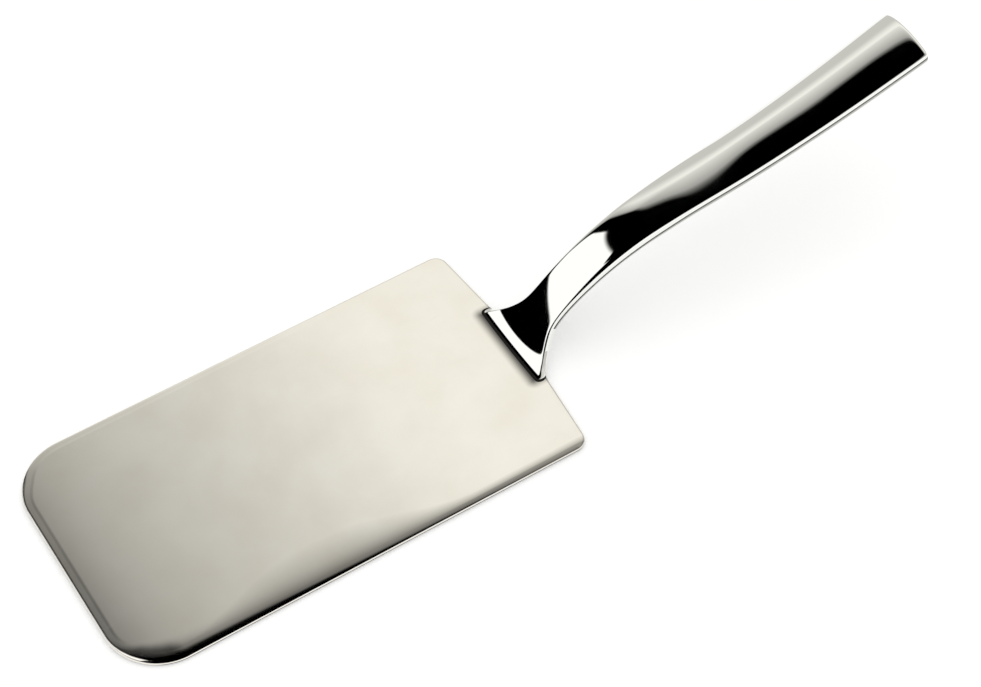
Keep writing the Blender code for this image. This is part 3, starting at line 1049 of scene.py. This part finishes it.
select_only()
bpy.ops.mesh.primitive_uv_sphere_add(segments=96, ring_count=48, radius=TENT_RADIUS, location=(0, 0, 0))
tent = bpy.context.object
tent.name = "light_tent"
bpy.ops.object.shade_smooth()
tent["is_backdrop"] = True
tent.visible_camera = False
tent.visible_diffuse = False
tent.visible_transmission = False
tent.visible_shadow = False

tent_wall = bpy.data.materials.new("lit_tent_wall")
tent_wall.use_nodes = True
tent_wall.cycles.emission_sampling = "NONE"
tent.data.materials.append(tent_wall)
tree = tent_wall.node_tree
tree.nodes.clear()
wall = node(tree, "TexCoord").outputs["Object"]
aim = node(tree, "VectorMath", {"operation": "NORMALIZE"}, links={0: wall})
sideways, height = node(tree, "SeparateXYZ", links={0: aim}).outputs[1:]
level_aim = node(tree, "VectorMath", TIMES, {1: (1, 1, 0)}, {0: aim})
bearing = node(tree, "VectorMath", {"operation": "NORMALIZE"}, links={0: level_aim})
print("tent:", TENT_RADIUS, "m in radius")

# %% [markdown]
# The cloth hangs on the heel's side. It is brightest in its middle and fades unevenly to its
# edge, as a lit cloth with folds does, and those tones are what the blade mirrors. On the far
# side it is drawn round the corner. Its lower part hangs in shade.

# %% Cloth
CLOTH_SIDE = (1.0, 0.223, 0.0)
CLOTH_FROM, CLOTH_FULL = 0.15, 0.45
# brightness of the cloth from its dark edge (0) to its middle (1)
CLOTH_LEVELS = (
    (0.0, 0.0), (0.08, 0.18), (0.16, 0.43), (0.32, 0.58), (0.50, 0.71), (0.67, 0.84), (0.90, 1.04),
)
CORNER_FROM, CORNER_FULL, CORNER_WRAP = 0.6, 1.0, 0.30
SHADE_TO, LIT_FROM = 0.42, 0.74
CLOTH_LOW_SHADE = 0.64

cloth_way = node(tree, "VectorMath", DOT, {1: CLOTH_SIDE}, {0: aim}).outputs["Value"]
limits = {"From Min": CORNER_FROM, "From Max": CORNER_FULL, "To Max": CORNER_WRAP}
corner_way = node(tree, "MapRange", values=limits, links={"Value": sideways})
wrapped_way = node(tree, "Math", {"operation": "ADD"}, links={0: cloth_way, 1: corner_way})
limits = {"From Min": CLOTH_FROM, "From Max": CLOTH_FULL}
cloth_share = node(tree, "MapRange", values=limits, links={"Value": wrapped_way})
cloth = node(tree, "ValToRGB", links={"Fac": cloth_share})
stops = cloth.color_ramp.elements
stops.remove(stops[1])
for position, _ in CLOTH_LEVELS[1:]:
    stops.new(position)
for stop, (position, level) in zip(stops, CLOTH_LEVELS):
    stop.position = position
    stop.color = (level, level, level, 1)
limits = {"From Min": SHADE_TO, "From Max": LIT_FROM, "To Min": CLOTH_LOW_SHADE}
cloth_shade = node(tree, "MapRange", SMOOTH, limits, {"Value": height})
cloth = node(tree, "Math", TIMES, links={0: cloth, 1: cloth_shade})
print("cloth has", len(stops), "tones")

# %% [markdown]
# The lamp box stands beyond the tip and makes the white patch on the neck, so the patch has the
# box's outline: two sides, a floor, a level top, and a roof that climbs from the far side towards
# the near one. Each edge is a short, smooth ramp. Where all of them let through, the wall is lit.

# %% Lamp box
LAMP_AZIMUTH = math.radians(160)
LAMP_HALF_WIDTH = math.radians(48)
LAMP_LOW, LAMP_TOP = math.sin(math.radians(23)), math.sin(math.radians(61))
ROOF_TILT = (0, 0.42, 1)
LAMP_ROOF = 1.01
SIDE_SOFT, LEVEL_SOFT = 0.015, 0.01

lamp_aim = (math.cos(LAMP_AZIMUTH), math.sin(LAMP_AZIMUTH), 0)
lamp_way = node(tree, "VectorMath", DOT, {1: lamp_aim}, {0: bearing}).outputs["Value"]
roof_way = node(tree, "VectorMath", DOT, {1: ROOF_TILT}, {0: aim}).outputs["Value"]
# what is measured, where the edge lies, and half its width, negative where the light ends upwards
LAMP_EDGES = (
    (lamp_way, math.cos(LAMP_HALF_WIDTH), SIDE_SOFT),
    (height, LAMP_LOW, LEVEL_SOFT),
    (roof_way, LAMP_ROOF, -LEVEL_SOFT),
    (height, LAMP_TOP, -LEVEL_SOFT),
)
edge_ramps = []
for measure, edge_at, soft in LAMP_EDGES:
    limits = {"From Min": edge_at - soft, "From Max": edge_at + soft}
    edge_ramps.append(node(tree, "MapRange", SMOOTH, limits, {"Value": measure}))
lamp = edge_ramps[0]
for edge_ramp in edge_ramps[1:]:
    lamp = node(tree, "Math", TIMES, links={0: lamp, 1: edge_ramp})
print("lamp box has", len(edge_ramps), "edges")

# %% [markdown]
# A white strip runs along the foot of the wall wherever no cloth hangs, as if the table's white
# went on up the wall for a little. Then the wall is put together: lamp and strip are white and
# equally bright, and the cloth glows in its own warm white.

# %% Strip and glow of the wall
STRIP_HIGH = math.sin(math.radians(6))
STRIP_SOFT = 0.012
CLOTH_BEGINS, CLOTH_GONE = 0.30, 0.05
LAMP_LEVEL = 1.15
CLOTH = linear("#FBFAF4")

limits = {"From Min": STRIP_HIGH + STRIP_SOFT, "From Max": STRIP_HIGH - STRIP_SOFT}
strip = node(tree, "MapRange", SMOOTH, limits, {"Value": height})
limits = {"From Min": CLOTH_BEGINS, "From Max": CLOTH_GONE}
open_side = node(tree, "MapRange", values=limits, links={"Value": cloth_way})
strip = node(tree, "Math", TIMES, links={0: strip, 1: open_side})
white = node(tree, "Math", LARGER, links={0: lamp, 1: strip})
lamp_level = node(tree, "Math", TIMES, {1: LAMP_LEVEL}, {0: white})
level = node(tree, "Math", LARGER, links={0: lamp_level, 1: cloth})
colour = node(tree, "Mix", {"data_type": "RGBA"}, {6: CLOTH, 7: WHITE}, {"Factor": white})
glow = node(tree, "Emission", links={"Color": colour.outputs[2], "Strength": level})
node(tree, "OutputMaterial", links={"Surface": glow})
print("tent wall has", len(tree.nodes), "nodes")

# %% [markdown]
# The table needs light too, and a background. A plain white world gives both. It isn't shown to
# mirror rays, which end at the tent. A weak scrim overhead adds a soft shade under the server.

# %% World and overhead scrim
WORLD_STRENGTH = 0.80
SCRIM_AT = (0.1, 0.15, 1.6)
SCRIM_SIZE = 1.8
SCRIM_WATTS = 4

world = bpy.context.scene.world or bpy.data.worlds.new("white_room")
bpy.context.scene.world = world
world.use_nodes = True
tree = world.node_tree
tree.nodes.clear()
background = node(tree, "Background", values={"Color": WHITE, "Strength": WORLD_STRENGTH})
node(tree, "OutputWorld", links={"Surface": background})
world.cycles_visibility.glossy = False

bpy.ops.object.light_add(type="AREA", location=SCRIM_AT)
scrim = bpy.context.object
scrim.name = "overhead_scrim"
scrim.data.shape = "RECTANGLE"
scrim.data.size = SCRIM_SIZE
scrim.data.size_y = SCRIM_SIZE
scrim.data.energy = SCRIM_WATTS
scrim.visible_glossy = False
print("scrim:", scrim.data.energy, "W")

# %% [markdown]
# The camera looks down past the tip with a long lens. Its place was found by laying the blade's
# outline over the photographed one.

# %% Camera
LENS_MM, SENSOR_MM = 90.28, 36.0
CAMERA_AT = (-0.1494, -0.3413, 0.5366)
LOOKS_AT = (0.0620, 0.0049, 0.0)
CAMERA_ROLL = math.radians(-0.98)
SEES_FROM = 0.01

bpy.ops.object.camera_add(location=CAMERA_AT)
camera = bpy.context.object
view = Vector(LOOKS_AT) - Vector(CAMERA_AT)
turn = view.to_track_quat("-Z", "Y") @ Quaternion((0, 0, 1), CAMERA_ROLL)
camera.rotation_euler = turn.to_euler()
camera.data.lens = LENS_MM
camera.data.sensor_width = SENSOR_MM
camera.data.sensor_fit = "HORIZONTAL"
camera.data.clip_start = SEES_FROM
bpy.context.scene.camera = camera
bpy.context.scene.view_settings.view_transform = "Standard"
print("camera %.3f m from the server" % view.length)

# %% [markdown]
# The dressed model's box is kept beside the frame's, so that the two can be compared.

# %% Keep the sizes and finish
select_only()
visual_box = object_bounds()
sizes = {"cad": [list(corner) for corner in cad_box], "visual": [list(corner) for corner in visual_box]}
print("sizes:", sizes)
